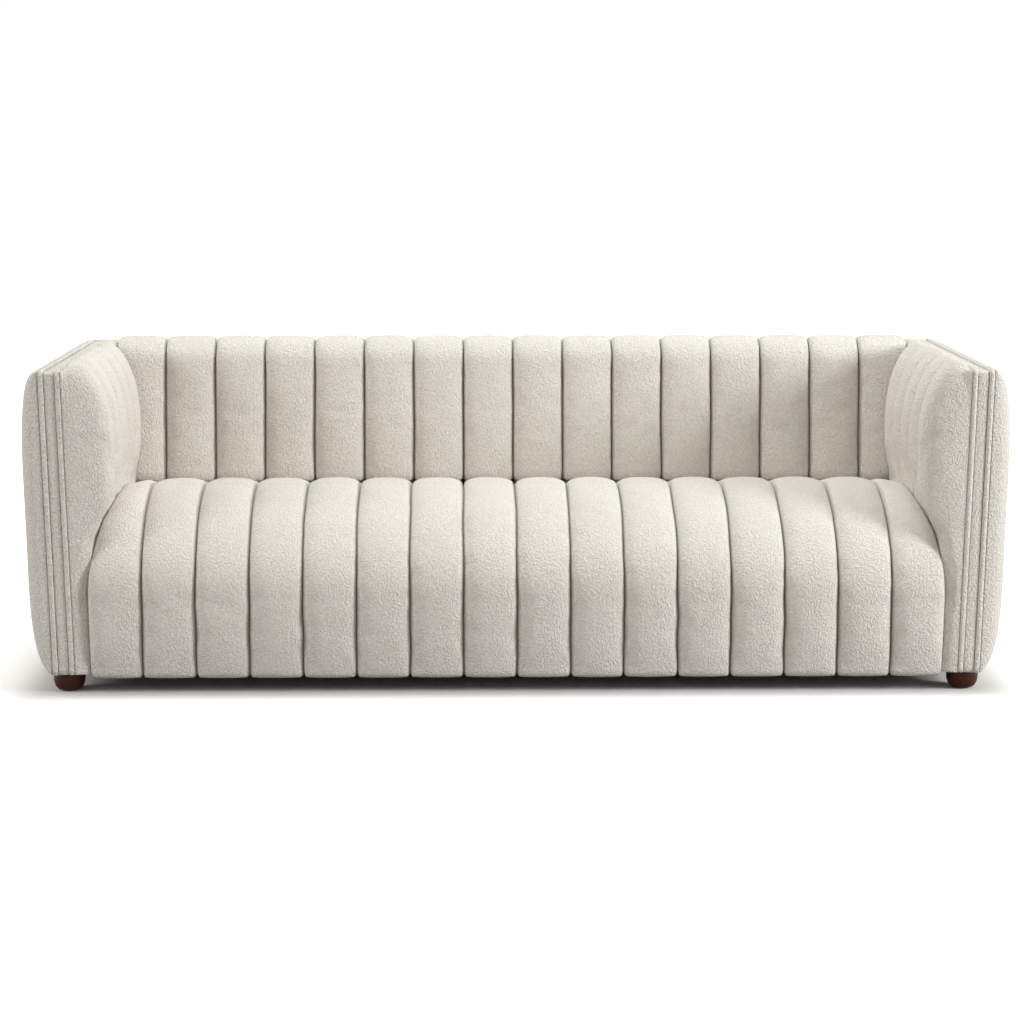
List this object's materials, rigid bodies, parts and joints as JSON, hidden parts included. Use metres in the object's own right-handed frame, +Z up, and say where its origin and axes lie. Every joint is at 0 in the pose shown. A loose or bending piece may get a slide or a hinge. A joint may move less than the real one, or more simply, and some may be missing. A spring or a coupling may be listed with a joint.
{
  "type": "tuxedo sofa",
  "caption": "Tuxedo sofa with arms as high as its back, upright channelled upholstery on seat, inside back and inside arms, a flat band between welts along arms and back, and bun feet.",
  "frame": {"origin": "on the floor, under the middle of the sofa's width and depth", "axes": "+X to the right as seen from the front, +Y towards the back, +Z up"},
  "size_m": [2.1514, 0.89, 0.73],
  "materials": {
    "foot_wood": "dark stain, satin lacquer",
    "glide_plastic": "matte",
    "boucle": "matte looped wool",
    "frame_wood": "matte, planed",
    "hardboard": "matte",
    "foam": "matte open cells",
    "felt": "matte",
    "webbing": "matte woven",
    "dust_cloth": "matte",
    "spring_steel": "satin",
    "zinc_steel": "satin zinc"
  },
  "bodies": {
    "root": {"foot_front_left": "foot_wood", "foot_front_right": "foot_wood", "foot_rear_left": "foot_wood", "foot_rear_right": "foot_wood", "foot_glides": "glide_plastic", "foot_bolts": "zinc_steel", "foot_plates": "zinc_steel", "foot_plate_screws": "zinc_steel", "front_rail": "frame_wood", "rear_rail": "frame_wood", "left_side_rail": "frame_wood", "right_side_rail": "frame_wood", "seat_stretchers": "frame_wood", "corner_blocks": "frame_wood", "corner_block_screws": "zinc_steel", "spring_clips_front": "zinc_steel", "spring_clips_rear": "zinc_steel", "seat_springs": "spring_steel", "tie_wires": "spring_steel", "spring_felt": "felt", "seat_foam": "foam", "front_roll_foam": "foam", "seat_channel_cover": "boucle", "dust_cover": "dust_cloth", "left_back_post": "frame_wood", "right_back_post": "frame_wood", "back_mid_posts": "frame_wood", "back_sill": "frame_wood", "back_tack_rail": "frame_wood", "back_top_rail": "frame_wood", "back_webbing": "webbing", "back_foam": "foam", "back_channel_cover": "boucle", "outside_back_board": "hardboard", "outside_back_pad": "boucle", "back_band": "boucle", "back_inner_welt": "boucle", "back_outer_welt": "boucle", "left_arm_front_post": "frame_wood", "left_arm_top_rail": "frame_wood", "left_arm_tack_rail": "frame_wood", "left_arm_panel": "hardboard", "left_arm_foam": "foam", "left_arm_channel_cover": "boucle", "left_outside_arm_board": "hardboard", "left_outside_arm_pad": "boucle", "left_arm_band": "boucle", "left_arm_inner_welt": "boucle", "left_arm_outer_welt": "boucle", "right_arm_front_post": "frame_wood", "right_arm_top_rail": "frame_wood", "right_arm_tack_rail": "frame_wood", "right_arm_panel": "hardboard", "right_arm_foam": "foam", "right_arm_channel_cover": "boucle", "right_outside_arm_board": "hardboard", "right_outside_arm_pad": "boucle", "right_arm_band": "boucle", "right_arm_inner_welt": "boucle", "right_arm_outer_welt": "boucle"}
  },
  "joints": []
}
